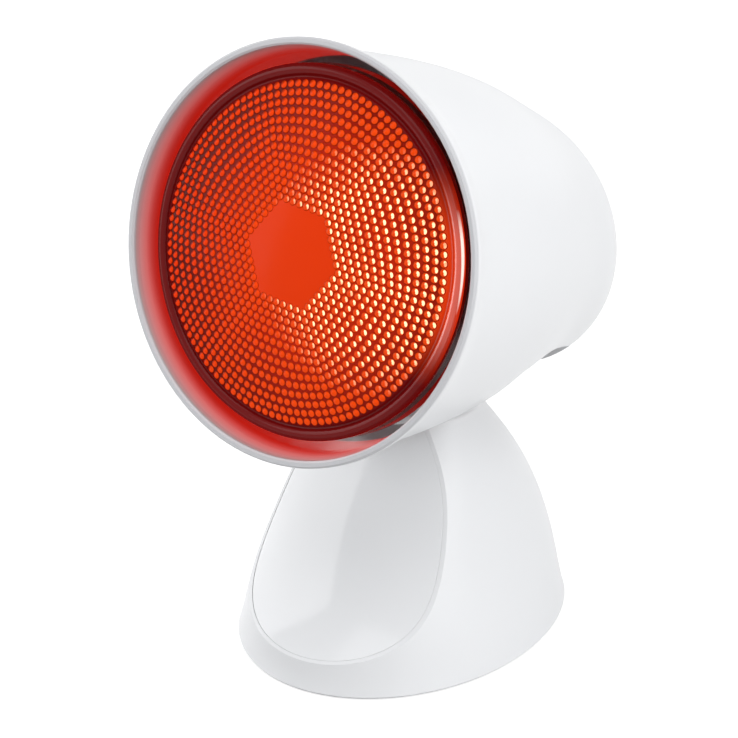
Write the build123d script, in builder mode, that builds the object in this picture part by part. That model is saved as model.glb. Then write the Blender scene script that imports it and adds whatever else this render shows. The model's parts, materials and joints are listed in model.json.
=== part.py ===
from build123d import *
from math import cos, radians, sin, sqrt, tan
import os

# Infrared heat therapy lamp: a bell-shaped head with a red pressed-glass bulb, tilting
# on the neck of a heavy moulded base. Millimetres, +Z up, the lamp shines towards -Y.
# The lamp is drawn about the middle of its foot, and finished about the middle of its
# whole length, which lies a little further back.

# ---------------------------------------------------------------- driving dimensions
origin_setback = 1.9          # the finished lamp's origin behind the middle of the foot

# Base housing: elliptical sections, (height, width, depth) from the foot to the neck
foot_section = (0.6, 104.8, 133.8)
ankle_section = (15.0, 98.2, 126.6)
hip_section = (30.0, 89.4, 120.6)
waist_section = (45.0, 80.4, 107.6)
shoulder_section = (60.0, 71.2, 86.8)
collar_section = (75.0, 56.8, 59.4)
neck_section = (84.0, 45.4, 41.6)
neck_setback = 4.0            # the neck's centre behind the middle of the foot
base_wall = 2.6
neck_cap = 7.0                # solid thickness at the top of the neck
foot_edge_chamfer = 0.9
neck_edge_radius = 2.4

# Front face: a concave sweep, (height, distance ahead of the middle), bowed sideways
face_toe = (10.0, 65.0)
face_knee = (30.0, 44.4)
face_shin = (52.0, 31.2)
face_head = (80.0, 15.4)
face_bow_radius = 60.0
cover_thickness = 2.6         # front cover, measured along Y
cover_backing = 2.6           # wall behind the cover, measured along Y
cover_lip = 0.9               # rim of the housing that shows around the cover
cover_gap = 0.15

# Bottom plate, ballast, feet
plate_thickness = 2.4
plate_gap = 0.3
plate_recess = 0.6            # plate up from the housing's lower edge
ballast_size = (58.0, 66.0, 9.0)
ballast_corner = 8.0
foot_pad_radius = 6.0
foot_pad_recess = 1.0
foot_pad_chamfer = 0.4
foot_spots = (27.0, 37.0)     # X and Y of the feet
base_screw_spots = (15.0, 47.0)
screw_radius = 1.5
screw_head_radius = 3.0
screw_head_height = 1.6
screw_clearance = 0.05
screw_length = 9.0
boss_radius = 3.6

# Tilt hinge
pivot_setback = 4.0
pivot_height = 95.0
knuckle_radius = 11.0
knuckle_width = 34.0
axle_radius = 3.0
axle_clearance = 0.05
part_gap = 0.05               # between parts that seat in each other
axle_head_radius = 5.2
axle_head_thickness = 2.0
axle_nut_thickness = 2.4
axle_tail = 0.8
cheek_clearance = 0.3
cheek_thickness = 2.0
cheek_radius = 9.5
rest_tilt = 16.0              # the bulb's axis points this far above the horizontal
click_pitch = 10.0            # degrees between the five tilt positions
click_count = 5
click_ring_radius = 9.8
click_groove_length = 4.0
click_ring_thickness = 2.5
click_groove_depth = 0.7
nib_orbit = 7.2
nib_radius = 1.1
nib_clearance = 0.12
spring_width = 4.0
spring_thickness = 0.5
spring_length = 15.0
rivet_radius = 1.2
rivet_head_radius = 2.0
rivet_head_height = 0.7

# Head shell, measured along the bulb's axis behind the rim
pivot_behind_rim = 81.4
pivot_below_axis = 43.4
rim_gap = 5.8                 # between the bulb's glass and the rim
rim_band = 2.4                # the rim is a little thicker than the wall behind it
rim_depth = 1.5
crown_room = 18.1             # from the bulb's contact to the bell's crown
head_wall = 2.2
rim_edge_chamfer = 0.6
opening_front = (69.5, 33.5)  # arch over the neck: (behind the rim, below the axis)
opening_crown = (96.0, 29.4)
opening_rear = (20.4, 32.8)   # (ahead of the crown, below the axis)
opening_corner_radii = (7.0, 3.0)
slot_front = 50.0             # slot that lets the head nod forwards over the neck
slot_width = 54.0
slot_depth = 40.0             # the slot starts this far below the axis
slot_corner_radius = 12.0
lip_end = (6.0, 7.0)          # profile points of the bell: (behind the rim, past the bulb's radius)
bell_front = (14.5, 5.3)
bell_flank = (48.0, 1.9)
bell_waist = (80.0, 56.4)     # from here on: (behind the rim, radius)
bell_shoulder = (108.0, 48.6)
bell_rear = (21.4, 42.4)      # these two: (ahead of the crown, radius)
bell_crown = (8.4, 33.9)
lip_stations = (0.0, 0.2, 0.4, 0.6, 0.8)
bell_stations = (0.0, 0.14, 0.28, 0.42, 0.54, 0.64, 0.72, 0.79, 0.85, 0.9, 0.94, 0.975)
bell_lift = (4.1, 2)          # the bell's centre line above the axis: height and power
bell_droop = (17.4, 5.9)      # and below it, towards the crown

# Bulb: pressed glass PAR38 with an E27 cap
lens_apex = -2.7              # behind the rim, so slightly proud of it
lens_edge = 5.5
bulb_radius = 60.5
lens_shoulder_radius = 2.0
lens_ring_width = 2.4
lens_ring_depth = 0.9
glass_wall = 3.0
lens_flange = 6.0
reflector_flange = 5.0
reflector_step = 4.3          # from the flange in to the parabolic dish
bulb_neck_radius = 20.0
bulb_neck_length = 14.6
cap_length = 29.3             # from the glass to the end of the contact
cap_crest_radius = 13.2
cap_root_radius = 12.3
cap_pitch = 3.6
cap_turns = 6
cap_wall = 0.8
cap_flare = 3.0
bulb_length = 136.0
cap_insulator_height = 2.6
cap_contact_height = 1.0
cap_contact_radius = 5.2

# Lampholder and its bracket
holder_radius = 19.5
holder_floor = 2.7            # plate behind the bulb's contact
holder_boss_radius = 14.0
holder_boss_height = 5.0
holder_chamfer = 1.0
sleeve_wall = 0.6
sleeve_clearance = 0.35
sleeve_inset = 1.5            # behind the mouth of the holder
sleeve_length = 21.0
contact_disc_radius = 4.0
contact_disc_thickness = 1.0
bracket_thickness = 2.0
bracket_hole_clearance = 0.3
bracket_top = 20.0            # above the axis
bracket_bottom = 28.0         # below it
bracket_ear = 4.0             # plate around the shell's screws
arm_rear_width = 16.0
arm_knee = 100.0
arm_knee_span = (39.5, 24.0)  # below the axis
shell_screw_orbit = 23.2
shell_screw_length = 5.5
holder_screw_orbit = 16.9
holder_screw_radius = 1.2
holder_screw_head = (2.1, 1.4)
holder_screw_length = 5.0

# Rocker switch on the back of the base
switch_height = 34.0
switch_lean = 18.5
switch_recess = (24.0, 29.0)
switch_recess_corner = 4.0
switch_recess_depth = 3.4
switch_pad_thickness = 2.6
switch_hole = (13.2, 19.4)
switch_bezel = (15.0, 21.2, 1.8)
switch_body_depth = 12.0
switch_body_gap = 0.1
switch_bezel_corner = 1.5
switch_blade = (0.8, 4.8, 7.0)
switch_blade_spread = 4.5
switch_inset = 1.6            # recess plane in from the hip section
rocker_size = (9.6, 15.4)
rocker_gap = 0.3
rocker_tilt = 8.0             # each way from level
rocker_pivot_depth = 4.0
rocker_pin_radius = 1.2
rocker_valley = 3.4           # the rocker's middle above its pin
rocker_keel = (3.0, 4.2)
rocker_sweep = 6.0            # cavity below the pin
rocker_pin_length = 0.8
rocker_pin_wall = 0.4
rocker_end_angles = (36, 8, -20)  # of the rocker's round ends, seen from its pin

# Cable bush, a block in a notch at the back of the base that stands on the bottom plate
bush_height = 13.0            # its bore above the table
bush_width = 12.0
bush_rise = 6.0               # its top above the bore
bush_corner = 2.0
bush_flange_lip = 2.0         # the flange reaches this far past the block
bush_flange_thickness = 1.6
bush_bore_radius = 3.6
bush_length = 9.0
bush_inset = 1.0
bush_gap = 0.1

# Wiring
lead_radius = 1.8
lead_exit_setback = 18.6
lead_grommet_radius = 2.9
block_size = (30.0, 14.0, 11.0)
block_setback = 8.0
block_poles = 3
block_pitch = 9.0
block_hole_radius = 1.8
block_screw_radius = 1.7
neck_lead_rise = 31.0         # where the lead climbs, behind the middle of the foot
neck_lead_bends = (46.0, 66.0)
neck_lead_top = 1.0           # above the neck
lamp_lead_route = ((98.5, -38.8), (108.0, -34.0), (120.0, -31.5), (126.0, -25.0), (126.0, -17.0))

# ---------------------------------------------------------------- shared geometry
base_sections = [
    foot_section,
    ankle_section,
    hip_section,
    waist_section,
    shoulder_section,
    collar_section,
    neck_section,
]
neck_height = neck_section[0]
rim_radius = bulb_radius + rim_gap + rim_band
lip_point = (lip_end[0], bulb_radius + lip_end[1])
front_point = (bell_front[0], bulb_radius + bell_front[1])
flank_point = (bell_flank[0], bulb_radius + bell_flank[1])
head_back = Vector(0, cos(radians(rest_tilt)), -sin(radians(rest_tilt)))
head_up = Vector(0, sin(radians(rest_tilt)), cos(radians(rest_tilt)))
pivot = Vector(0, pivot_setback, pivot_height)
rim_centre = pivot - head_back * pivot_behind_rim + head_up * pivot_below_axis
bulb_axis = Axis(rim_centre, head_back)
bulb_end = lens_apex + bulb_length
bulb_neck_end = bulb_end - cap_length
head_length = bulb_end + crown_room
holder_front = bulb_neck_end + cap_flare
holder_back = bulb_end + holder_floor
# Side view of the head: x behind the rim, y above the bulb's axis
head_side = Plane(origin=rim_centre, x_dir=head_back, z_dir=(1, 0, 0))


def head_cross(depth):
    """Plane square to the bulb's axis, x to the left and y up, at a depth behind the rim."""
    return Plane(origin=rim_centre + head_back * depth, x_dir=(-1, 0, 0), z_dir=head_back)


def base_setback(height):
    """How far the centre of a base section lies behind the middle of the foot."""
    return neck_setback * (height / neck_height) ** 6


def base_form(inset, sections, straight=False):
    """Solid through the base's elliptical sections, taken in by an inset."""
    with BuildPart() as form:
        for height, width, depth in sections:
            with BuildSketch(Plane.XY.offset(height)):
                with Locations((0, base_setback(height))):
                    Ellipse(width / 2 - inset, depth / 2 - inset)
        loft(ruled=straight)
    return form.part


with BuildLine(Plane.YZ) as face_line:
    Spline(*[(-ahead, height) for height, ahead in (face_toe, face_knee, face_shin, face_head)])


def ahead_of_face(shift):
    """Everything in front of the sweeping front face, moved back by a shift."""
    half = foot_section[1] / 2
    far = -foot_section[2]
    bow = half**2 / (2 * face_bow_radius)
    start, end = face_line.line @ 0, face_line.line @ 1
    below = start - (face_line.line % 0) * 2 * face_toe[0]
    above = end + (face_line.line % 1) * (pivot_height - face_head[0])
    stations = [below] + [face_line.line @ (n / 6) for n in range(7)] + [above]
    with BuildPart() as ahead:
        for station in stations:
            centre = station.Y + shift
            side = centre + bow
            with BuildSketch(Plane.XY.offset(station.Z)):
                with BuildLine():
                    ThreePointArc((-half, side), (0, centre), (half, side))
                    Polyline((half, side), (half, far), (-half, far), (-half, side))
                make_face()
        loft()
    return ahead.part


# Side profile of the bell: x behind the rim, y the radius
front_slope = (1, -0.09)
with BuildLine() as lip_line:
    Spline((rim_depth, rim_radius), lip_point, front_point, tangents=[(1, 0), front_slope])
with BuildLine() as bell_line:
    Spline(
        front_point,
        flank_point,
        bell_waist,
        bell_shoulder,
        (head_length - bell_rear[0], bell_rear[1]),
        (head_length - bell_crown[0], bell_crown[1]),
        (head_length, 0),
        tangents=[front_slope, (0, -1)],
    )


def head_form(inset, straight=False):
    """Solid of the bell, taken in square to its surface; its crown droops below the axis."""
    stations = [(lip_line.line, share) for share in lip_stations]
    stations += [(bell_line.line, share) for share in bell_stations]
    with BuildPart() as form:
        for line, share in stations:
            point, run = line @ share, line % share
            length_share = max(point.X - bell_front[0], 0) / (head_length - bell_front[0])
            lift = bell_lift[0] * length_share ** bell_lift[1] - bell_droop[0] * length_share ** bell_droop[1]
            with BuildSketch(head_cross(point.X + inset * run.Y)):
                with Locations((0, lift)):
                    Circle(point.Y - inset * run.X)
        loft(ruled=straight)
    return form.part


def bush_block(back_from, back_to, margin, foot):
    """Block of the cable bush's outline, grown by a margin and open to a foot height, along its bore."""
    with BuildPart() as block:
        with BuildSketch(bush_plane.offset(back_from)) as outline:
            with Locations((0, foot - bush_height)):
                Rectangle(
                    bush_width + 2 * margin,
                    bush_height + bush_rise + margin - foot,
                    align=(Align.CENTER, Align.MIN),
                )
            fillet(outline.vertices().group_by(Axis.Y)[-1], bush_corner + margin)
        extrude(amount=back_to - back_from)
    return block.part


def round_bar(depth_from, depth_to, radius, spots=((0.0, 0.0),)):
    """Round bars along the bulb's axis, at (sideways, upwards) spots."""
    with BuildPart() as bars:
        with BuildSketch(head_cross(depth_from)):
            with Locations(*[(-side, up) for side, up in spots]):
                Circle(radius)
        extrude(amount=depth_to - depth_from)
    return bars.part


# ---------------------------------------------------------------- base housing
front_space = ahead_of_face(0)
cover_space = ahead_of_face(cover_thickness)
wall_space = ahead_of_face(cover_thickness + cover_backing)
switch_plane = Plane(
    origin=(0, hip_section[2] / 2 - switch_inset, switch_height),
    x_dir=(-1, 0, 0),
    z_dir=(0, cos(radians(switch_lean)), sin(radians(switch_lean))),
)
bush_plane = Plane(
    origin=(0, ankle_section[2] / 2 - bush_inset, bush_height),
    x_dir=(-1, 0, 0),
    z_dir=(0, 1, 0),
)
plate_top = foot_section[0] + plate_recess + plate_thickness
corner_signs = [(-1, -1), (1, -1), (1, 1), (-1, 1)]
foot_points = [(sx * foot_spots[0], sy * foot_spots[1]) for sx, sy in corner_signs]
base_screw_points = [(sx * base_screw_spots[0], sy * base_screw_spots[1]) for sx, sy in corner_signs]

with BuildPart() as base_outside:
    add(base_form(0, base_sections))
    base_foot_edge = base_outside.edges().sort_by(Axis.Z)[0]
    chamfer(base_foot_edge, foot_edge_chamfer)
    base_neck_edge = base_outside.edges().sort_by(Axis.Z)[-1]
    fillet(base_neck_edge, neck_edge_radius)

with BuildPart() as base_inside:
    add(base_form(base_wall, base_sections[:-1], straight=True))
    add(wall_space, mode=Mode.SUBTRACT)

with BuildPart() as base_lugs:
    # Bosses for the bottom plate's screws, the pad behind the switch and the collar round the bush
    with BuildSketch(Plane.XY.offset(plate_top)):
        with Locations(*base_screw_points):
            Circle(boss_radius)
    extrude(amount=waist_section[0])
    with BuildSketch(switch_plane.offset(-switch_recess_depth - switch_pad_thickness)):
        Rectangle(switch_recess[0] + 2 * base_wall, switch_recess[1] + 2 * base_wall)
    extrude(amount=switch_recess_depth + switch_pad_thickness)
    add(bush_block(-bush_length, 0, base_wall, plate_top))
    add(base_outside.part, mode=Mode.INTERSECT)

with BuildPart() as base_shell:
    add(base_outside.part)
    add(base_inside.part, mode=Mode.SUBTRACT)
    add(base_lugs.part)
    add(front_space, mode=Mode.SUBTRACT)
    with BuildPart(mode=Mode.SUBTRACT) as cover_seat:
        add(base_form(cover_lip, base_sections))
        add(cover_space, mode=Mode.INTERSECT)
    # Knuckle of the tilt hinge
    with BuildSketch(Plane.YZ.offset(-knuckle_width / 2)):
        with Locations((pivot.Y, pivot.Z)):
            Circle(knuckle_radius)
        with Locations((pivot.Y, (pivot.Z + neck_height - neck_cap) / 2)):
            Rectangle(2 * knuckle_radius, pivot.Z - neck_height + neck_cap)
    extrude(amount=knuckle_width)
    with Locations(Plane(origin=pivot, z_dir=(1, 0, 0))):
        Hole(axle_radius + axle_clearance, depth=knuckle_width)
    with BuildSketch(Plane.YZ.offset(knuckle_width / 2 - click_ring_thickness)):
        with Locations((pivot.Y, pivot.Z)):
            Circle(click_ring_radius + part_gap)
    extrude(amount=click_ring_thickness, mode=Mode.SUBTRACT)
    # Way for the lamp's leads, behind the knuckle
    with BuildSketch(Plane.XY.offset(neck_height - 2 * neck_cap)):
        with Locations((0, lead_exit_setback)):
            Circle(lead_grommet_radius)
    extrude(amount=3 * neck_cap, mode=Mode.SUBTRACT)
    # Flat-bottomed recess and window for the switch
    with BuildSketch(switch_plane.offset(-switch_recess_depth)):
        RectangleRounded(switch_recess[0], switch_recess[1], switch_recess_corner)
    extrude(amount=2 * switch_recess_depth, mode=Mode.SUBTRACT)
    with BuildSketch(switch_plane.offset(-2 * switch_recess_depth - switch_pad_thickness)):
        Rectangle(switch_hole[0], switch_hole[1])
    extrude(amount=2 * switch_recess_depth + switch_pad_thickness, mode=Mode.SUBTRACT)
    # Notch for the cable bush, open below, and the seat of its flange
    add(bush_block(-2 * bush_length, bush_length, bush_gap, 0), mode=Mode.SUBTRACT)
    add(bush_block(0, bush_length, bush_flange_lip + bush_gap, 0), mode=Mode.SUBTRACT)
    # Open underside, then the pilot holes of the bottom plate's screws
    with BuildSketch(Plane.XY.offset(foot_section[0])):
        Ellipse(foot_section[1] / 2 - base_wall, foot_section[2] / 2 - base_wall)
    extrude(amount=plate_recess + plate_thickness, mode=Mode.SUBTRACT)
    with BuildSketch(Plane.XY.offset(plate_top)):
        with Locations(*base_screw_points):
            Circle(screw_radius + screw_clearance)
    extrude(amount=screw_length, mode=Mode.SUBTRACT)

with BuildPart() as front_cover:
    add(base_form(cover_lip + cover_gap, base_sections))
    add(cover_space, mode=Mode.INTERSECT)
    add(front_space, mode=Mode.SUBTRACT)

with BuildPart() as bottom_plate:
    with BuildSketch(Plane.XY.offset(foot_section[0] + plate_recess)):
        Ellipse(foot_section[1] / 2 - base_wall - plate_gap, foot_section[2] / 2 - base_wall - plate_gap)
    extrude(amount=plate_thickness)
    with Locations(*[(x, y, plate_top - plate_thickness) for x, y in base_screw_points]):
        Cylinder(
            screw_radius + screw_clearance,
            plate_thickness,
            align=(Align.CENTER, Align.CENTER, Align.MIN),
            mode=Mode.SUBTRACT,
        )
        Cylinder(
            screw_head_radius + plate_gap,
            screw_head_height,
            align=(Align.CENTER, Align.CENTER, Align.MIN),
            mode=Mode.SUBTRACT,
        )
    with Locations(*[(x, y, plate_top - plate_thickness) for x, y in foot_points]):
        Cylinder(
            foot_pad_radius,
            foot_pad_recess,
            align=(Align.CENTER, Align.CENTER, Align.MIN),
            mode=Mode.SUBTRACT,
        )

with BuildPart() as base_screws:
    with BuildSketch(Plane.XY.offset(plate_top - plate_thickness)):
        with Locations(*base_screw_points):
            Circle(screw_head_radius)
    extrude(amount=screw_head_height)
    with BuildSketch(Plane.XY.offset(plate_top - plate_thickness)):
        with Locations(*base_screw_points):
            Circle(screw_radius)
    extrude(amount=screw_length)

with BuildPart() as foot_pads:
    with BuildSketch(Plane.XY):
        with Locations(*foot_points):
            Circle(foot_pad_radius)
    extrude(amount=plate_top - plate_thickness + foot_pad_recess)
    chamfer(foot_pads.edges().group_by(Axis.Z)[0], foot_pad_chamfer)

with BuildPart() as ballast:
    with BuildSketch(Plane.XY.offset(plate_top)):
        RectangleRounded(ballast_size[0], ballast_size[1], ballast_corner)
    extrude(amount=ballast_size[2])

block_bottom = plate_top + ballast_size[2]
block_spots = [((n - (block_poles - 1) / 2) * block_pitch, block_setback) for n in range(block_poles)]
with BuildPart() as terminal_block:
    with BuildSketch(Plane.XY.offset(block_bottom)):
        with Locations((0, block_setback)):
            Rectangle(block_size[0], block_size[1])
    extrude(amount=block_size[2])
    with BuildSketch(Plane.XY.offset(block_bottom + block_size[2] / 2)):
        with Locations(*block_spots):
            Circle(block_screw_radius)
    extrude(amount=block_size[2] / 2, mode=Mode.SUBTRACT)
    with BuildSketch(Plane.XZ.offset(-block_setback - block_size[1] / 2)):
        with Locations(*[(x, block_bottom + block_size[2] / 3) for x, y in block_spots]):
            Circle(block_hole_radius)
    extrude(amount=block_size[1], mode=Mode.SUBTRACT)


def lead_along(plane, points):
    """Round lead of straight runs joined by tangent arcs, as large as the runs allow."""
    bends = []
    for before, corner, after in zip(points, points[1:], points[2:]):
        run_in = Vector(*corner) - Vector(*before)
        run_out = Vector(*after) - Vector(*corner)
        turn = radians(run_in.get_angle(run_out))
        bends.append(0.45 * min(run_in.length, run_out.length) / tan(turn / 2))
    with BuildPart() as lead:
        with BuildLine(plane) as route:
            FilletPolyline(*points, radius=bends)
        with BuildSketch(Plane(origin=route.line @ 0, z_dir=route.line % 0)):
            Circle(lead_radius)
        sweep()
    return lead.part


with BuildPart() as neck_lead:
    add(
        lead_along(
            Plane.YZ,
            (
                (block_setback + block_size[1] / 2, block_bottom + block_size[2] / 3),
                (neck_lead_rise, block_bottom + block_size[2] / 3),
                (neck_lead_rise, neck_lead_bends[0]),
                (lead_exit_setback, neck_lead_bends[1]),
                (lead_exit_setback, neck_height + neck_lead_top),
            ),
        )
    )

with BuildPart() as neck_grommet:
    with BuildSketch(Plane.XY.offset(neck_height - neck_cap)):
        with Locations((0, lead_exit_setback)):
            Circle(lead_grommet_radius - part_gap)
            Circle(lead_radius + part_gap, mode=Mode.SUBTRACT)
    extrude(amount=neck_cap)

# ---------------------------------------------------------------- rocker switch and cable bush
switch_floor = switch_plane.offset(-switch_recess_depth)
bezel_top = switch_floor.offset(switch_bezel[2])
rocker_pivot = bezel_top.offset(-rocker_pivot_depth).origin
cavity = (rocker_size[0] + 2 * rocker_gap, rocker_size[1] + 2 * rocker_gap)

with BuildPart() as switch_body:
    with BuildSketch(switch_floor):
        RectangleRounded(switch_bezel[0], switch_bezel[1], switch_bezel_corner)
    extrude(amount=switch_bezel[2])
    with BuildSketch(switch_floor.offset(-switch_body_depth)):
        Rectangle(switch_hole[0] - 2 * switch_body_gap, switch_hole[1] - 2 * switch_body_gap)
    extrude(amount=switch_body_depth)
    with BuildSketch(bezel_top.offset(-rocker_pivot_depth - rocker_sweep)):
        Rectangle(cavity[0], cavity[1])
    extrude(amount=rocker_pivot_depth + rocker_sweep, mode=Mode.SUBTRACT)
    with BuildSketch(Plane.YZ.offset(-switch_hole[0] / 2 + switch_body_gap + rocker_pin_wall)):
        with Locations((rocker_pivot.Y, rocker_pivot.Z)):
            Circle(rocker_pin_radius + axle_clearance)
    extrude(amount=switch_hole[0] - 2 * switch_body_gap - 2 * rocker_pin_wall, mode=Mode.SUBTRACT)

with BuildPart() as switch_blades:
    with BuildSketch(switch_floor.offset(-switch_body_depth - switch_blade[2])):
        with Locations((0, switch_blade_spread), (0, -switch_blade_spread)):
            Rectangle(switch_blade[0], switch_blade[1])
    extrude(amount=switch_blade[2])

# Side view of the rocker about its pin, with its lower end pressed in
rocker_lean = radians(switch_lean - rocker_tilt)
rocker_side = Plane(origin=rocker_pivot, x_dir=(0, sin(rocker_lean), -cos(rocker_lean)), z_dir=(1, 0, 0))
rocker_reach = rocker_size[1] / 2


def rocker_rim(degrees):
    """Point on the rocker's end, which is round about its pin."""
    return (rocker_reach * cos(radians(degrees)), rocker_reach * sin(radians(degrees)))


with BuildPart() as rocker:
    with BuildSketch(rocker_side.offset(-rocker_size[0] / 2)):
        with BuildLine():
            right_end = [rocker_rim(angle) for angle in rocker_end_angles]
            left_end = [(-x, y) for x, y in right_end]
            ThreePointArc(*right_end)
            Polyline(
                right_end[-1],
                (rocker_keel[0], -rocker_keel[1]),
                (-rocker_keel[0], -rocker_keel[1]),
                left_end[-1],
            )
            ThreePointArc(*left_end[::-1])
            Polyline(left_end[0], (0, rocker_valley), right_end[0])
        make_face()
    extrude(amount=rocker_size[0])
    with BuildSketch(rocker_side.offset(-rocker_size[0] / 2 - rocker_gap - rocker_pin_length)):
        Circle(rocker_pin_radius)
    extrude(amount=rocker_size[0] + 2 * rocker_gap + 2 * rocker_pin_length)

with BuildPart() as cable_bush:
    add(bush_block(-bush_length, 0, 0, plate_top + part_gap))
    add(bush_block(0, bush_flange_thickness, bush_flange_lip, plate_top + part_gap))
    with BuildSketch(bush_plane.offset(-bush_length)):
        Circle(bush_bore_radius)
    extrude(amount=bush_length + bush_flange_thickness, mode=Mode.SUBTRACT)

# ---------------------------------------------------------------- head shell
head_outside = head_form(0)
bracket_back = holder_back + bracket_thickness
shell_screw_spots = ((-shell_screw_orbit, 0.0), (shell_screw_orbit, 0.0), (0.0, -shell_screw_orbit))
with BuildPart() as shell_bosses:
    add(round_bar(bracket_back, head_length, boss_radius, shell_screw_spots))
    add(head_outside, mode=Mode.INTERSECT)

with BuildPart() as head_rim:
    with BuildSketch(head_cross(0)):
        Circle(rim_radius)
        Circle(rim_radius - rim_band, mode=Mode.SUBTRACT)
    extrude(amount=rim_depth)
    chamfer(head_rim.edges().sort_by(Axis(rim_centre, head_back))[:2], rim_edge_chamfer)

with BuildPart() as head_shell:
    add(head_outside)
    add(head_form(head_wall, straight=True), mode=Mode.SUBTRACT)
    add(head_rim.part)
    # Opening for the neck: an arch across the underside, and a slot in front of it
    with BuildSketch(head_side) as arch:
        with BuildLine():
            front_corner = (opening_front[0], -opening_front[1])
            rear_corner = (head_length - opening_rear[0], -opening_rear[1])
            ThreePointArc(front_corner, (opening_crown[0], -opening_crown[1]), rear_corner)
            Polyline(
                rear_corner,
                (rear_corner[0], -2 * rim_radius),
                (front_corner[0], -2 * rim_radius),
                front_corner,
            )
        make_face()
        fillet(arch.vertices().sort_by(Axis.X)[:2].sort_by(Axis.Y)[-1], opening_corner_radii[0])
        fillet(arch.vertices().sort_by(Axis.X)[-2:].sort_by(Axis.Y)[-1], opening_corner_radii[1])
    extrude(amount=rim_radius, both=True, mode=Mode.SUBTRACT)
    slot_plane = Plane(origin=rim_centre - head_up * slot_depth, x_dir=head_back, z_dir=-head_up)
    with BuildSketch(slot_plane) as slot:
        with Locations(((slot_front + opening_crown[0]) / 2, 0)):
            Rectangle(opening_crown[0] - slot_front, slot_width)
        fillet(slot.vertices().group_by(Axis.X)[0], slot_corner_radius)
    extrude(amount=rim_radius, mode=Mode.SUBTRACT)
    add(shell_bosses.part)
    pilot_end = bracket_back + shell_screw_length
    add(
        round_bar(bracket_back, pilot_end, screw_radius + screw_clearance, shell_screw_spots),
        mode=Mode.SUBTRACT,
    )

# ---------------------------------------------------------------- bulb
ring_inner = bulb_radius - lens_shoulder_radius - lens_ring_width
ring_outer = bulb_radius - lens_shoulder_radius
lens_back = lens_edge + lens_flange
lens_radius = (ring_inner**2 + (lens_edge - lens_apex) ** 2) / (2 * (lens_edge - lens_apex))
with BuildPart() as bulb_lens:
    with BuildSketch(head_side):
        with BuildLine():
            RadiusArc((lens_apex, 0), (lens_edge - lens_ring_depth, ring_inner), lens_radius)
            Line((lens_edge - lens_ring_depth, ring_inner), (lens_edge - lens_ring_depth, ring_outer))
            JernArc((lens_edge - lens_ring_depth, ring_outer), (0, 1), lens_shoulder_radius, -90)
            Polyline(
                (lens_edge - lens_ring_depth + lens_shoulder_radius, bulb_radius),
                (lens_back, bulb_radius),
                (lens_back, bulb_radius - glass_wall),
                (lens_edge + glass_wall, ring_inner),
            )
            RadiusArc((lens_edge + glass_wall, ring_inner), (lens_apex + glass_wall, 0), -lens_radius)
            Line((lens_apex + glass_wall, 0), (lens_apex, 0))
        make_face()
    revolve(axis=bulb_axis)

dish_shares = (1, 0.93, 0.8, 0.65, 0.5, 0.33, 0.17, 0)
flange_back = lens_back + reflector_flange
neck_start = bulb_neck_end - bulb_neck_length
dish_radius = bulb_radius - reflector_step
dish_taper = (dish_radius**2 - bulb_neck_radius**2) / (neck_start - flange_back)


def reflector_point(share, inset):
    """Point of the parabolic glass, from the flange (0) to the neck (1)."""
    depth = flange_back + share * (neck_start - flange_back)
    return (depth, sqrt(dish_radius**2 - dish_taper * (depth - flange_back)) - inset)


with BuildPart() as bulb_reflector:
    with BuildSketch(head_side):
        with BuildLine():
            Polyline((lens_back, bulb_radius), (flange_back, bulb_radius), reflector_point(0, 0))
            ThreePointArc(*[reflector_point(share, 0) for share in (0, 0.5, 0.8)])
            ThreePointArc(*[reflector_point(share, 0) for share in (0.8, 0.93, 1)])
            Polyline(
                (neck_start, bulb_neck_radius),
                (bulb_neck_end, bulb_neck_radius),
                (bulb_neck_end, 0),
                (neck_start + glass_wall, 0),
                (neck_start, bulb_neck_radius - glass_wall),
            )
            Polyline(*[reflector_point(share, glass_wall) for share in dish_shares])
            Polyline(
                reflector_point(0, glass_wall),
                (lens_back, bulb_radius - glass_wall),
                (lens_back, bulb_radius),
            )
        make_face()
    revolve(axis=bulb_axis)

cap_end = bulb_end - cap_contact_height - cap_insulator_height
thread_start = cap_end - cap_turns * cap_pitch
with BuildPart() as bulb_cap:
    with BuildSketch(head_side):
        with BuildLine():
            Polyline(
                (bulb_neck_end, cap_root_radius - cap_wall),
                (bulb_neck_end, bulb_neck_radius - cap_wall),
                (bulb_neck_end + cap_flare, cap_root_radius),
                (thread_start, cap_root_radius),
            )
            for turn in range(cap_turns):
                start = thread_start + turn * cap_pitch
                Polyline(
                    (start, cap_root_radius),
                    (start + cap_pitch / 2, cap_crest_radius),
                    (start + cap_pitch, cap_root_radius),
                )
            Polyline(
                (cap_end, cap_root_radius),
                (cap_end, cap_root_radius - cap_wall),
                (bulb_neck_end, cap_root_radius - cap_wall),
            )
        make_face()
    revolve(axis=bulb_axis)

with BuildPart() as cap_insulator:
    with BuildSketch(head_side):
        Polygon(
            (cap_end - cap_wall, 0),
            (cap_end - cap_wall, cap_root_radius - cap_wall),
            (cap_end, cap_root_radius - cap_wall),
            (cap_end + cap_insulator_height, cap_contact_radius),
            (cap_end + cap_insulator_height, 0),
            align=None,
        )
    revolve(axis=bulb_axis)

with BuildPart() as cap_contact:
    add(round_bar(bulb_end - cap_contact_height, bulb_end, cap_contact_radius))

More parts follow.
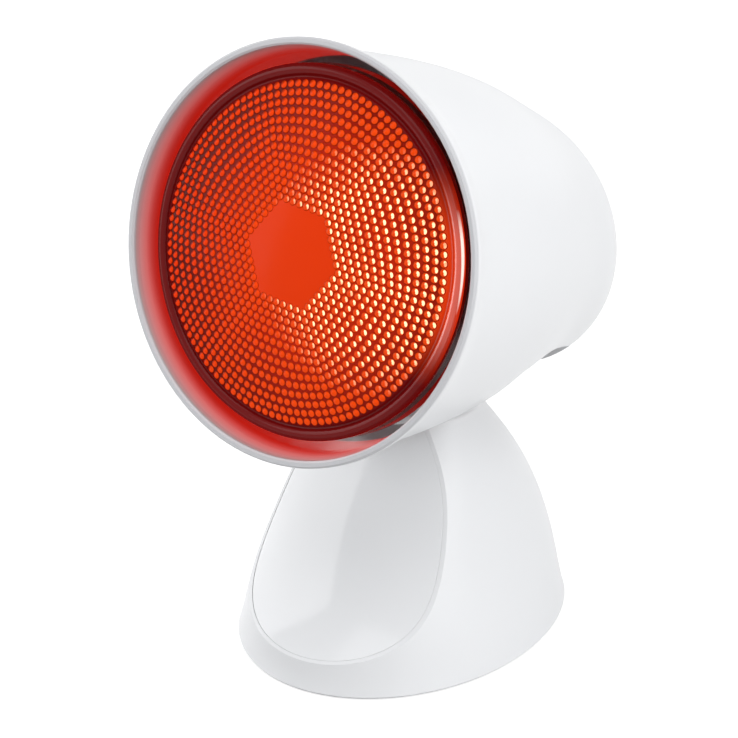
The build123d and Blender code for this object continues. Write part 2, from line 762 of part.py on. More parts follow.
# ---------------------------------------------------------------- lampholder and bracket
sleeve_inner = cap_crest_radius + sleeve_clearance
sleeve_outer = sleeve_inner + sleeve_wall
sleeve_start = holder_front + sleeve_inset
holder_screw_spots = ((0.0, -holder_screw_orbit), (0.0, holder_screw_orbit))
with BuildPart() as lampholder:
    add(round_bar(holder_front, holder_back, holder_radius))
    chamfer(lampholder.edges().filter_by(GeomType.CIRCLE), holder_chamfer)
    add(round_bar(holder_back, holder_back + holder_boss_height, holder_boss_radius))
    bore_end = bulb_end + contact_disc_thickness
    add(round_bar(holder_front, bore_end, sleeve_outer + part_gap), mode=Mode.SUBTRACT)
    thread_end = holder_back - holder_screw_length
    add(
        round_bar(thread_end, holder_back, holder_screw_radius + screw_clearance, holder_screw_spots),
        mode=Mode.SUBTRACT,
    )
    with BuildSketch(Plane(origin=rim_centre + head_back * lamp_lead_route[-1][0], z_dir=-head_up)):
        Circle(lead_radius + part_gap)
    extrude(amount=holder_radius, mode=Mode.SUBTRACT)

with BuildPart() as lamp_sleeve:
    add(round_bar(sleeve_start, sleeve_start + sleeve_length, sleeve_outer))
    add(round_bar(sleeve_start, sleeve_start + sleeve_length, sleeve_inner), mode=Mode.SUBTRACT)

with BuildPart() as centre_contact:
    add(round_bar(bulb_end, bulb_end + contact_disc_thickness, contact_disc_radius))

bracket_half = knuckle_width / 2 + cheek_clearance + cheek_thickness
pivot_spot = (pivot_behind_rim, -pivot_below_axis)
nib_spot = (pivot_behind_rim, nib_orbit - pivot_below_axis)
rivet_spot = (pivot_behind_rim + spring_length - spring_width, nib_orbit - pivot_below_axis)
with BuildPart() as lamp_bracket:
    # Two cheeks that straddle the knuckle
    with BuildSketch(head_side.offset(-bracket_half)):
        Polygon(
            (pivot_behind_rim, -pivot_below_axis - cheek_radius),
            (arm_knee, -arm_knee_span[0]),
            (bracket_back, -bracket_bottom),
            (bracket_back, arm_rear_width - bracket_bottom),
            (arm_knee, -arm_knee_span[1]),
            (pivot_behind_rim, cheek_radius - pivot_below_axis),
            align=None,
        )
        with Locations(pivot_spot):
            Circle(cheek_radius)
    extrude(amount=2 * bracket_half)
    with BuildSketch(head_side.offset(cheek_thickness - bracket_half)):
        with Locations((bracket_back - bracket_thickness - rim_radius, 0)):
            Rectangle(2 * rim_radius, 2 * rim_radius)
    extrude(amount=2 * (bracket_half - cheek_thickness), mode=Mode.SUBTRACT)
    # Back plate that carries the lampholder
    with BuildSketch(head_cross(holder_back)):
        with Locations((0, (bracket_top - bracket_bottom) / 2)):
            Rectangle(2 * bracket_half, bracket_top + bracket_bottom)
        RectangleRounded(2 * (shell_screw_orbit + bracket_ear), 2 * bracket_ear, bracket_ear * 0.6)
    extrude(amount=bracket_thickness)
    add(round_bar(holder_back, bracket_back, holder_boss_radius + bracket_hole_clearance), mode=Mode.SUBTRACT)
    add(
        round_bar(holder_back, bracket_back, screw_radius + screw_clearance, shell_screw_spots),
        mode=Mode.SUBTRACT,
    )
    add(
        round_bar(holder_back, bracket_back, holder_screw_radius + screw_clearance, holder_screw_spots),
        mode=Mode.SUBTRACT,
    )
    with BuildSketch(head_side.offset(-bracket_half)):
        with Locations(pivot_spot):
            Circle(axle_radius + part_gap)
    extrude(amount=2 * bracket_half, mode=Mode.SUBTRACT)
    with BuildSketch(head_side.offset(bracket_half - cheek_thickness)):
        with Locations(nib_spot):
            Circle(nib_radius + cheek_clearance)
        with Locations(rivet_spot):
            Circle(rivet_radius + part_gap)
    extrude(amount=cheek_thickness, mode=Mode.SUBTRACT)

with BuildPart() as tilt_axle:
    with BuildSketch(head_side.offset(-bracket_half - axle_head_thickness)):
        with Locations(pivot_spot):
            Circle(axle_head_radius)
    extrude(amount=axle_head_thickness)
    with BuildSketch(head_side.offset(-bracket_half)):
        with Locations(pivot_spot):
            Circle(axle_radius)
    extrude(amount=2 * bracket_half + axle_nut_thickness + axle_tail)
    chamfer(tilt_axle.edges().sort_by(Axis.X)[-1], axle_tail / 2)

with BuildPart() as axle_nut:
    with BuildSketch(head_side.offset(bracket_half)):
        with Locations(pivot_spot):
            RegularPolygon(axle_head_radius, 6)
            Circle(axle_radius + part_gap, mode=Mode.SUBTRACT)
    extrude(amount=axle_nut_thickness)

groove_side = click_groove_depth * sqrt(2)
with BuildPart() as click_ring:
    with BuildSketch(Plane.YZ.offset(knuckle_width / 2 - click_ring_thickness)):
        with Locations((pivot.Y, pivot.Z)):
            Circle(click_ring_radius)
            Circle(axle_radius + axle_clearance, mode=Mode.SUBTRACT)
    extrude(amount=click_ring_thickness)
    # Five grooves under the path of the spring's nib
    for click in range(click_count):
        turn = radians(90 - rest_tilt + (click - (click_count - 1) / 2) * click_pitch)
        outward = Vector(0, cos(turn), sin(turn))
        across = Vector(1, 0, 0) + outward.cross(Vector(1, 0, 0))
        groove_centre = pivot + Vector(knuckle_width / 2, 0, 0) + outward * nib_orbit
        with Locations(Plane(origin=groove_centre, x_dir=outward, z_dir=across)):
            Box(click_groove_length, groove_side, groove_side, mode=Mode.SUBTRACT)

with BuildPart() as click_spring:
    with BuildSketch(head_side.offset(bracket_half)):
        with Locations((nib_spot[0] + spring_length / 2 - spring_width / 2, nib_spot[1])):
            SlotOverall(spring_length, spring_width)
        with Locations(rivet_spot):
            Circle(rivet_radius + part_gap, mode=Mode.SUBTRACT)
    extrude(amount=spring_thickness)
    with BuildSketch(head_side.offset(knuckle_width / 2 + nib_clearance)):
        with Locations(nib_spot):
            Circle(nib_radius)
    extrude(amount=cheek_clearance + cheek_thickness - nib_clearance)
    fillet(click_spring.edges().sort_by(Axis.X)[0], nib_radius * 0.8)

with BuildPart() as spring_rivet:
    with BuildSketch(head_side.offset(bracket_half - cheek_thickness)):
        with Locations(rivet_spot):
            Circle(rivet_radius)
    extrude(amount=cheek_thickness + spring_thickness)
    with BuildSketch(head_side.offset(bracket_half + spring_thickness)):
        with Locations(rivet_spot):
            Circle(rivet_head_radius)
    extrude(amount=rivet_head_height)

with BuildPart() as shell_screws:
    add(round_bar(holder_back - screw_head_height, holder_back, screw_head_radius, shell_screw_spots))
    add(round_bar(holder_back, bracket_back + shell_screw_length, screw_radius, shell_screw_spots))

with BuildPart() as holder_screws:
    head_top = bracket_back + holder_screw_head[1]
    add(round_bar(bracket_back, head_top, holder_screw_head[0], holder_screw_spots))
    add(round_bar(holder_back - holder_screw_length, bracket_back, holder_screw_radius, holder_screw_spots))

with BuildPart() as lamp_lead:
    add(lead_along(head_side, lamp_lead_route))

# ---------------------------------------------------------------- finished pieces
pieces = {
    "base_shell": base_shell,
    "front_cover": front_cover,
    "bottom_plate": bottom_plate,
    "base_screws": base_screws,
    "foot_pads": foot_pads,
    "ballast": ballast,
    "terminal_block": terminal_block,
    "neck_lead": neck_lead,
    "neck_grommet": neck_grommet,
    "switch_body": switch_body,
    "switch_blades": switch_blades,
    "rocker": rocker,
    "cable_bush": cable_bush,
    "click_ring": click_ring,
    "head_shell": head_shell,
    "bulb_lens": bulb_lens,
    "bulb_reflector": bulb_reflector,
    "bulb_cap": bulb_cap,
    "cap_insulator": cap_insulator,
    "cap_contact": cap_contact,
    "lampholder": lampholder,
    "lamp_sleeve": lamp_sleeve,
    "centre_contact": centre_contact,
    "lamp_bracket": lamp_bracket,
    "tilt_axle": tilt_axle,
    "axle_nut": axle_nut,
    "click_spring": click_spring,
    "spring_rivet": spring_rivet,
    "shell_screws": shell_screws,
    "holder_screws": holder_screws,
    "lamp_lead": lamp_lead,
}
os.makedirs("parts", exist_ok=True)
for name, piece in pieces.items():
    piece.part.position -= (0, origin_setback, 0)
    piece.part.label = name
    export_step(piece.part, f"parts/{name}.step")
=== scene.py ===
import json
import math

import bmesh
import bpy
from mathutils import Matrix, Vector


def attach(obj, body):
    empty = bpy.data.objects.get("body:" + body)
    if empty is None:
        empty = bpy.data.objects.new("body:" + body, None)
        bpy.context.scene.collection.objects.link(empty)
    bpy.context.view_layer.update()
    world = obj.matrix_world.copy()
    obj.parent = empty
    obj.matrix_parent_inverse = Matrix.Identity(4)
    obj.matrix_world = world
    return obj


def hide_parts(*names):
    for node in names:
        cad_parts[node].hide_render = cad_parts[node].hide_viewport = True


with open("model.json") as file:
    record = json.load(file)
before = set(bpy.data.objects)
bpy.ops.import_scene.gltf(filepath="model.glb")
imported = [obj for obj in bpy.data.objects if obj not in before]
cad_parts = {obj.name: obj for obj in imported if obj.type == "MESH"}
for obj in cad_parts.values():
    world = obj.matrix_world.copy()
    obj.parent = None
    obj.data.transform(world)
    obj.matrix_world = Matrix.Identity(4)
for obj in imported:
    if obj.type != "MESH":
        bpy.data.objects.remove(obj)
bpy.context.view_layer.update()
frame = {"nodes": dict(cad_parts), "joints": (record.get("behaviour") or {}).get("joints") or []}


def joint_place(name):
    """Place of a joint's pin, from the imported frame."""
    joint = next(joint for joint in frame["joints"] if joint["name"] == name)
    return Vector(joint["pos_m"])


# The lamp's own directions: the bulb looks forward and up by the rest tilt
REST_TILT = math.radians(16)
PIVOT_BEHIND_RIM = 0.0814
PIVOT_BELOW_AXIS = 0.0434
lamp_side = Vector((1, 0, 0))
lamp_back = Vector((0, math.cos(REST_TILT), -math.sin(REST_TILT)))
lamp_up = Vector((0, math.sin(REST_TILT), math.cos(REST_TILT)))
rim_centre = joint_place("head_tilt") - lamp_back * PIVOT_BEHIND_RIM + lamp_up * PIVOT_BELOW_AXIS


def lamp_point(depth, side, up):
    """Point of the head: depth behind the rim, to the side (+X) and above the bulb's axis."""
    return rim_centre + lamp_back * depth + lamp_side * side + lamp_up * up


def lamp_direction(side, up, forward):
    """Direction in the head: to the side (+X), up and forward along the bulb's axis."""
    return lamp_side * side + lamp_up * up - lamp_back * forward


def piece_from(name, points, faces, smooth=True):
    """New object at the origin from points and faces, its faces turned outwards."""
    mesh = bpy.data.meshes.new(name)
    mesh.from_pydata([tuple(point) for point in points], [], faces)
    shape = bmesh.new()
    shape.from_mesh(mesh)
    bmesh.ops.remove_doubles(shape, verts=shape.verts, dist=1e-7)
    bmesh.ops.recalc_face_normals(shape, faces=shape.faces)
    for face in shape.faces:
        face.smooth = smooth
    shape.to_mesh(mesh)
    shape.free()
    piece = bpy.data.objects.new(name, mesh)
    bpy.context.scene.collection.objects.link(piece)
    return piece


def turned_about_lamp(name, profile, steps):
    """Closed solid of revolution about the bulb's axis; the profile starts and ends on the axis."""
    points = [lamp_point(profile[0][0], 0, 0)]
    for depth, radius in profile[1:-1]:
        for step in range(steps):
            angle = 2 * math.pi * step / steps
            points.append(lamp_point(depth, radius * math.cos(angle), radius * math.sin(angle)))
    points.append(lamp_point(profile[-1][0], 0, 0))
    last = len(points) - 1
    rings = len(profile) - 2
    faces = []
    for step in range(steps):
        following = (step + 1) % steps
        faces.append((0, 1 + step, 1 + following))
        for ring in range(rings - 1):
            start = 1 + ring * steps
            faces.append((start + step, start + following, start + steps + following, start + steps + step))
        start = 1 + (rings - 1) * steps
        faces.append((start + step, last, start + following))
    return piece_from(name, points, faces)


def arc(centre, radius, start, end, steps):
    """Points of a circular arc in the (depth, radius) plane, angles in degrees."""
    points = []
    for step in range(steps + 1):
        angle = math.radians(start + (end - start) * step / steps)
        points.append((centre[0] + radius * math.cos(angle), centre[1] + radius * math.sin(angle)))
    return points


# ---------------------------------------------------------------- materials
class Finish:
    """A material's node tree, with short calls for the nodes that the finishes share."""

    def __init__(self, name):
        self.material = bpy.data.materials.new(name)
        self.material.use_nodes = True
        self.nodes = self.material.node_tree.nodes
        self.links = self.material.node_tree.links
        self.shader = self.nodes["Principled BSDF"]
        self.place = self.nodes.new("ShaderNodeTexCoord").outputs["Object"]

    def constants(self, **values):
        """Sets the shader's own sockets; an underscore stands for a space in a socket's name."""
        for name, value in values.items():
            self.shader.inputs[name.replace("_", " ")].default_value = value

    def noise(self, scale, detail=3.0):
        node = self.nodes.new("ShaderNodeTexNoise")
        node.inputs["Scale"].default_value = scale
        node.inputs["Detail"].default_value = detail
        self.links.new(self.place, node.inputs["Vector"])
        return node.outputs["Fac"]

    def spread(self, value, low, high, start=0.35, end=0.65):
        """Maps a value between start and end onto low to high."""
        node = self.nodes.new("ShaderNodeMapRange")
        node.inputs["From Min"].default_value = start
        node.inputs["From Max"].default_value = end
        node.inputs["To Min"].default_value = low
        node.inputs["To Max"].default_value = high
        self.links.new(value, node.inputs["Value"])
        return node.outputs["Result"]

    def blend(self, share, first, second):
        """Colour between two, each of them a colour or a colour socket."""
        node = self.nodes.new("ShaderNodeMix")
        node.data_type = "RGBA"
        self.links.new(share, node.inputs[0])
        for socket, colour in ((node.inputs[6], first), (node.inputs[7], second)):
            if isinstance(colour, tuple):
                socket.default_value = (*colour, 1)
            else:
                self.links.new(colour, socket)
        return node.outputs[2]

    def combine(self, operation, first, second=None):
        """Math node on numbers or sockets."""
        node = self.nodes.new("ShaderNodeMath")
        node.operation = operation
        for socket, value in zip(node.inputs, (first, second)):
            if isinstance(value, (int, float)):
                socket.default_value = value
            elif value is not None:
                self.links.new(value, socket)
        return node.outputs[0]

    def diagonal(self, first, second):
        """Length of the diagonal whose sides are two values."""
        squares = [self.combine("MULTIPLY", value, value) for value in (first, second)]
        return self.combine("SQRT", self.combine("ADD", *squares))

    def colour(self, socket):
        self.links.new(socket, self.shader.inputs["Base Color"])

    def present_colour(self):
        return self.shader.inputs["Base Color"].links[0].from_socket

    def own_light(self, socket):
        self.links.new(socket, self.shader.inputs["Emission Color"])

    def roughness(self, socket):
        self.links.new(socket, self.shader.inputs["Roughness"])

    def grain(self, height, depth):
        node = self.nodes.new("ShaderNodeBump")
        node.inputs["Distance"].default_value = depth
        self.links.new(height, node.inputs["Height"])
        self.links.new(node.outputs["Normal"], self.shader.inputs["Normal"])

    def along(self, start, directions):
        """Sockets of the distances from a point along directions."""
        shift = self.nodes.new("ShaderNodeVectorMath")
        shift.operation = "SUBTRACT"
        shift.inputs[1].default_value = start
        self.links.new(self.place, shift.inputs[0])
        return [self.dot(shift.outputs[0], direction) for direction in directions]

    def dot(self, vector, direction):
        node = self.nodes.new("ShaderNodeVectorMath")
        node.operation = "DOT_PRODUCT"
        node.inputs[1].default_value = direction
        self.links.new(vector, node.inputs[0])
        return node.outputs["Value"]

    def lamp_place(self):
        """Sockets of the place in the head: depth behind the rim, side, height above the axis."""
        return self.along(rim_centre, (lamp_back, lamp_side, lamp_up))

    def distance_from(self, centre):
        """Distance across the lens from a point given by its side and height."""
        gaps = zip(self.lamp_place()[1:], centre)
        return self.diagonal(*[self.combine("SUBTRACT", reach, place) for reach, place in gaps])

    def share_facing(self, direction, start, end):
        """Share from 0 to 1 by how squarely the surface faces a direction."""
        normal = self.nodes.new("ShaderNodeTexCoord").outputs["Normal"]
        return self.spread(self.dot(normal, direction.normalized()), 0.0, 1.0, start, end)


# Scales of the patches in shade and gloss, with the least and most share of the colour or roughness
MOTTLE_SCALE, MOTTLE_SHADE = 14.0, 0.985
GLOSS_SCALE, GLOSS_LEAST, GLOSS_MOST = 22.0, 0.94, 1.06
METAL_MOTTLE_SCALE, METAL_MOTTLE_SHADE = 60.0, 0.8
BRUSH_SCALE, BRUSH_LEAST, BRUSH_MOST = 140.0, 0.8, 1.2
PIT_DEPTH = 0.00004


def moulded(name, colour, roughness, grain_scale, grain_depth, coat=0.0):
    """Moulded plastic, rubber or enamel: faint uneven gloss, slight mottle and a fine grain."""
    finish = Finish(name)
    shade = tuple(channel * MOTTLE_SHADE for channel in colour)
    finish.colour(finish.blend(finish.noise(MOTTLE_SCALE), shade, colour))
    least, most = roughness * GLOSS_LEAST, roughness * GLOSS_MOST
    finish.roughness(finish.spread(finish.noise(GLOSS_SCALE), least, most, 0.2, 0.8))
    finish.grain(finish.noise(grain_scale, 4.0), grain_depth)
    finish.constants(Coat_Weight=coat, Coat_Roughness=0.06)
    return finish


def plated(name, colour, roughness, pit_scale=900.0):
    """Plated or cast metal: brushed gloss and small pits."""
    finish = Finish(name)
    finish.constants(Metallic=1.0)
    shade = tuple(channel * METAL_MOTTLE_SHADE for channel in colour)
    finish.colour(finish.blend(finish.noise(METAL_MOTTLE_SCALE), shade, colour))
    least, most = roughness * BRUSH_LEAST, roughness * BRUSH_MOST
    finish.roughness(finish.spread(finish.noise(BRUSH_SCALE), least, most))
    finish.grain(finish.noise(pit_scale, 5.0), PIT_DEPTH)
    return finish


WHITE = (0.83, 0.837, 0.85)
SWITCH_BLACK = (0.018, 0.018, 0.02)
white_gloss = moulded("white satin gloss plastic", WHITE, 0.31, 1400.0, 0.000006, 0.05)
cover_gloss = moulded("white high gloss cover", WHITE, 0.16, 1400.0, 0.000004, 0.35)
bell_white = moulded("white bell plastic", WHITE, 0.31, 1400.0, 0.000006, 0.05)
underside = moulded("light grey underside plastic", (0.60, 0.61, 0.62), 0.55, 2200.0, 0.00003)
bush_white = moulded("white bush plastic", (0.70, 0.71, 0.72), 0.45, 2200.0, 0.00002)
switch_black = moulded("black switch plastic", SWITCH_BLACK, 0.32, 2600.0, 0.00002, 0.2)
rocker_black = moulded("black rocker plastic", SWITCH_BLACK, 0.32, 2600.0, 0.00002, 0.2)
bearing = moulded("natural bearing plastic", (0.62, 0.61, 0.57), 0.5, 2000.0, 0.00002)
terminal = moulded("terminal block plastic", (0.68, 0.64, 0.55), 0.5, 2000.0, 0.00002)
rubber = moulded("dark grey rubber", (0.035, 0.035, 0.038), 0.75, 3000.0, 0.00005)
sheath = moulded("lead sheath", (0.05, 0.05, 0.055), 0.6, 2500.0, 0.00004)
porcelain = moulded("glazed porcelain", (0.78, 0.75, 0.69), 0.18, 500.0, 0.00003, 0.6)
dark_glass = moulded("black cap glass", (0.01, 0.01, 0.012), 0.2, 500.0, 0.00002, 0.5)
silvering = moulded("silvered glass", (0.42, 0.40, 0.40), 0.15, 500.0, 0.00002, 0.4)
# The lens's side wall behind the bead: the ruby glass in painted shade, nearly black
shaded_edge_glass = moulded("dark ruby glass edge", (0.030, 0.002, 0.002), 0.15, 500.0, 0.00001, 0.2)
iron = plated("cast iron", (0.12, 0.12, 0.125), 0.62, 420.0)
steel = plated("plated steel", (0.60, 0.60, 0.61), 0.36)
zinc = plated("zinc plated sheet", (0.55, 0.57, 0.60), 0.40)
brass = plated("plain brass", (0.72, 0.52, 0.22), 0.36)
nickel = plated("nickelled cap", (0.66, 0.65, 0.62), 0.36)
for finish in (white_gloss, cover_gloss, bell_white):
    finish.constants(Specular_IOR_Level=0.3)

# The rocker's signs: their distance from the pin, half their size, half their stroke and, in shares of that,
# how far their ink reaches
SWITCH_LEAN = math.radians(18.5)
SIGN_OFFSET, SIGN_HALF, SIGN_STROKE = 0.0042, 0.0013, 0.0002
SIGN_FADE = 1.3
SIGN_WHITE = (0.72, 0.72, 0.72)


def paint_signs(finish):
    """The on and off signs, printed white: a bar above the pin and a ring below it."""
    up = Vector((0, -math.sin(SWITCH_LEAN), math.cos(SWITCH_LEAN)))
    side, height = finish.along(joint_place("rocker_switch"), (lamp_side, up))
    above_bar = finish.combine("ABSOLUTE", finish.combine("SUBTRACT", height, SIGN_OFFSET))
    bar_end = finish.combine("MULTIPLY", above_bar, SIGN_STROKE / SIGN_HALF)
    bar_gap = finish.combine("MAXIMUM", finish.combine("ABSOLUTE", side), bar_end)
    ring_reach = finish.diagonal(side, finish.combine("ADD", height, SIGN_OFFSET))
    ring_gap = finish.combine("ABSOLUTE", finish.combine("SUBTRACT", ring_reach, SIGN_HALF))
    nearest = finish.combine("MINIMUM", bar_gap, ring_gap)
    ink = finish.spread(nearest, 1.0, 0.0, SIGN_STROKE, SIGN_STROKE * SIGN_FADE)
    finish.colour(finish.blend(ink, finish.present_colour(), SIGN_WHITE))


paint_signs(rocker_black)

# A painted red glow, as of light through the ruby lens, lies on the reflector at the seam and fades down its
# outside between these depths
RED_GLOW_SPAN = (0.016, 0.040)
PAINTED_RED_GLOW = (0.16, 0.004, 0.002)
red_glow = silvering.spread(silvering.lamp_place()[0], 1.0, 0.0, *RED_GLOW_SPAN)
silvering.colour(silvering.blend(red_glow, silvering.present_colour(), PAINTED_RED_GLOW))

# The bell's inner wall is told from its outside by a cone, radius plus slope times depth. The wall beside the
# bulb gets a painted red glow from it and painted shade, and the lip of the rim gets painted shade, a little
# darker than the bell. A span is where a share goes from one end to the other.
WALL_SLOPE = 0.19
WALL_EDGE = (0.0672, 0.0675)
WALL_END = (0.024, 0.030)
PAINTED_WALL_SHADE = (0.46, 0.43, 0.435)
LIP_SPAN = (0.0007, 0.0017)
PAINTED_LIP_SHADE = (0.60, 0.60, 0.62)
RED_SPAN = (0.0012, 0.0105)
RED_CURVE = 0.8
PAINTED_WALL_GLOW = (0.80, 0.02, 0.01)


def paint_wall_glow_and_shade(finish):
    """Painted red glow from the bulb and painted shade on the bell's inner wall, and painted shade on its
    lip.
    """
    depth, side, height = finish.lamp_place()
    cone = finish.combine("ADD", finish.diagonal(side, height), finish.combine("MULTIPLY", depth, WALL_SLOPE))
    not_rear = finish.spread(depth, 1.0, 0.0, *WALL_END)
    wall = finish.combine("MULTIPLY", finish.spread(cone, 1.0, 0.0, *WALL_EDGE), not_rear)
    glow = finish.combine("POWER", finish.spread(depth, 0.0, 1.0, *RED_SPAN), RED_CURVE)
    red = finish.combine("MULTIPLY", glow, wall)
    tone = finish.blend(wall, finish.present_colour(), PAINTED_WALL_SHADE)
    tone = finish.blend(finish.spread(depth, 1.0, 0.0, *LIP_SPAN), tone, PAINTED_LIP_SHADE)
    finish.colour(finish.blend(red, tone, PAINTED_WALL_GLOW))
    finish.own_light(finish.blend(red, (0.0, 0.0, 0.0), PAINTED_WALL_GLOW))
    finish.constants(Emission_Strength=0.45)


paint_wall_glow_and_shade(bell_white)

# Ruby glass with a painted glow: brighter towards +X, the smooth middle most of all, with painted shade
# towards the outside. On a dimple the flanks turned to the dark side get painted shade, and those turned to
# the bright side a painted glint. A centre is a side and a height from the bulb's axis.
LIT_SPAN = (-0.052, 0.010)
CLOUD = 0.12
AXIS = (0.0, 0.0)
MIDDLE_SPAN = (0.0179, 0.0194)
OUTER_CENTRE, OUTER_SPAN, OUTER_SHADE = (0.006, 0.0), (0.028, 0.056), 0.75
BORDER_CENTRE, BORDER_SPAN, BORDER_FADE = (0.057, 0.006), (0.0532, 0.0538), (0.012, 0.036)
FLANK_FACING, FLANK_SPAN = lamp_direction(-0.75, 0.5, 0.35), (0.45, 0.78)
FLANK_IN_LIGHT = 0.35
FOOT_SPAN, FOOT_IN_MIDDLE = (0.0, 0.42), 0.62
GLINT_CENTRE, GLINT_FADE = (0.028, 0.002), (0.022, 0.040)
GLINT_FACINGS = [lamp_direction(side, up, 0.76) for side, up in ((0.66, -0.06), (0.62, 0.16), (0.48, 0.36))]
GLINT_SPAN = (0.930, 0.975)
GLINT_GAIN = 2.6
FLICKER_SCALE, FLICKER_LEAST, FLICKER_MOST = 420.0, 0.5, 1.5
CLOUD_SCALE, SMEAR_SCALE, RIPPLE_SCALE = 45.0, 260.0, 800.0
GLASS_ROUGHNESS = (0.10, 0.18)
RIPPLE_DEPTH = 0.00001


def flank_shade(finish, lit, outer):
    """Share of shade on a dimple: its flank away from the light, and its foot all round."""
    away = finish.share_facing(FLANK_FACING, *FLANK_SPAN)
    away = finish.combine("MULTIPLY", away, finish.spread(lit, 1.0, FLANK_IN_LIGHT, 0.0, 1.0))
    crown_height = finish.nodes.new("ShaderNodeAttribute")
    crown_height.attribute_name = "crown"
    foot = finish.spread(crown_height.outputs["Fac"], 1.0, 0.0, *FOOT_SPAN)
    foot = finish.combine("MULTIPLY", foot, finish.spread(outer, FOOT_IN_MIDDLE, 1.0, 0.0, 1.0))
    return finish.combine("MAXIMUM", away, foot)


def glint_share(finish):
    """Share of glint on a dimple: where its flank faces the light, on the bright side of the lens."""
    spots = [finish.share_facing(direction, *GLINT_SPAN) for direction in GLINT_FACINGS]
    towards = finish.combine("MAXIMUM", spots[0], finish.combine("MAXIMUM", spots[1], spots[2]))
    near = finish.spread(finish.distance_from(GLINT_CENTRE), 1.0, 0.0, *GLINT_FADE)
    flicker = finish.spread(finish.noise(FLICKER_SCALE, 2.0), FLICKER_LEAST, FLICKER_MOST, 0.35, 0.6)
    return finish.combine("MULTIPLY", finish.combine("MULTIPLY", towards, near), flicker)


def ruby_glass(name, dim, bright, middle=None, flank=None, glint=None, border=None, shadow=None):
    """Ruby glass with a painted glow from dim to bright; each further colour that is given adds its part of
    the painted light and shade.
    """
    finish = Finish(name)
    side = finish.lamp_place()[1]
    outer = finish.spread(finish.distance_from(OUTER_CENTRE), 0.0, 1.0, *OUTER_SPAN)
    lit = finish.spread(side, 0.0, 1.0, *LIT_SPAN)
    cloud = finish.spread(finish.noise(CLOUD_SCALE, 4.0), -CLOUD, CLOUD)
    tone = finish.blend(finish.combine("ADD", lit, cloud), dim, bright)
    if shadow:
        tone = finish.blend(finish.combine("MULTIPLY", outer, OUTER_SHADE), tone, shadow)
    if border:
        from_bright = finish.spread(finish.distance_from(BORDER_CENTRE), 1.0, 0.0, *BORDER_FADE)
        border_tone = finish.blend(from_bright, border[0], border[1])
        at_border = finish.spread(finish.distance_from(AXIS), 0.0, 1.0, *BORDER_SPAN)
        tone = finish.blend(at_border, tone, border_tone)
    if middle:
        in_middle = finish.spread(finish.distance_from(AXIS), 1.0, 0.0, *MIDDLE_SPAN)
        tone = finish.blend(in_middle, tone, middle)
    if flank:
        tone = finish.blend(flank_shade(finish, lit, outer), tone, flank)
    glow = tone
    if glint:
        spark = glint_share(finish)
        tone = finish.blend(spark, tone, glint)
        glow = finish.blend(spark, glow, tuple(GLINT_GAIN * channel for channel in glint))
    finish.colour(tone)
    finish.own_light(glow)
    finish.roughness(finish.spread(finish.noise(SMEAR_SCALE), *GLASS_ROUGHNESS))
    finish.grain(finish.noise(RIPPLE_SCALE), RIPPLE_DEPTH)
    return finish


# The border ring: painted shade away from the bright side, painted light near it
BORDER_SHADE_AND_LIGHT = ((0.13, 0.003, 0.003), (0.66, 0.045, 0.005))
ruby = ruby_glass(
    "ruby pressed glass",
    dim=(0.17, 0.003, 0.001),
    bright=(0.44, 0.015, 0.002),
    middle=(0.64, 0.034, 0.002),
    border=BORDER_SHADE_AND_LIGHT,
    shadow=(0.045, 0.001, 0.001),
)
ruby.constants(Specular_IOR_Level=0.06, IOR=1.45, Emission_Strength=0.34)
dimple_glass = ruby_glass(
    "ruby glass dimple",
    dim=(0.70, 0.034, 0.002),
    bright=(0.70, 0.052, 0.003),
    flank=(0.06, 0.001, 0.001),
    glint=(1.0, 0.66, 0.36),
)
dimple_glass.constants(Specular_IOR_Level=0.05, IOR=1.45, Emission_Strength=0.42)
bead_glass = ruby_glass(
    "ruby glass bead", dim=(0.06, 0.002, 0.002), bright=(0.60, 0.040, 0.005), border=BORDER_SHADE_AND_LIGHT
)
bead_glass.constants(
    Specular_IOR_Level=0.1, Coat_Roughness=0.10, Coat_IOR=1.8, IOR=1.45, Emission_Strength=0.30
)

# The bead has one long glint on the bright side, and away from there it loses its gloss
BEAD_GLOSS_SPAN = (0.016, 0.030)
BEAD_GLINT_FADE = (0.013, 0.022)
BEAD_FACING, BEAD_FACING_SPAN = Vector((0.796, -0.470, 0.380)), (0.955, 0.985)
BEAD_GLINT, BEAD_GLINT_LIGHT = (1.0, 0.92, 0.82), (2.4, 2.2, 1.9)


def glint_on_bead(finish):
    """The bead's gloss and its long glint."""
    reach = finish.distance_from(BORDER_CENTRE)
    finish.links.new(finish.spread(reach, 1.0, 0.04, *BEAD_GLOSS_SPAN), finish.shader.inputs["Coat Weight"])
    facing = finish.share_facing(BEAD_FACING, *BEAD_FACING_SPAN)
    spark = finish.combine("MULTIPLY", facing, finish.spread(reach, 1.0, 0.0, *BEAD_GLINT_FADE))
    tone = finish.present_colour()
    finish.colour(finish.blend(spark, tone, BEAD_GLINT))
    finish.own_light(finish.blend(spark, tone, BEAD_GLINT_LIGHT))


glint_on_bead(bead_glass)

FINISHES = {
    "base_shell": white_gloss, "front_cover": cover_gloss, "bottom_plate": underside, "base_screws": steel,
    "foot_pads": rubber, "ballast": iron, "terminal_block": terminal, "neck_lead": sheath,
    "neck_grommet": rubber, "switch_body": switch_black, "switch_blades": brass, "rocker": rocker_black,
    "cable_bush": bush_white, "click_ring": bearing, "head_shell": bell_white, "bulb_lens": ruby,
    "bulb_reflector": silvering, "bulb_cap": nickel, "cap_insulator": dark_glass, "cap_contact": brass,
    "lampholder": porcelain, "lamp_sleeve": brass, "centre_contact": brass, "lamp_bracket": zinc,
    "tilt_axle": steel, "axle_nut": steel, "click_spring": steel, "spring_rivet": steel,
    "shell_screws": steel, "holder_screws": steel, "lamp_lead": sheath,
}
for node, finish in FINISHES.items():
    for socket in frame["nodes"][node].material_slots:
        socket.material = finish.material

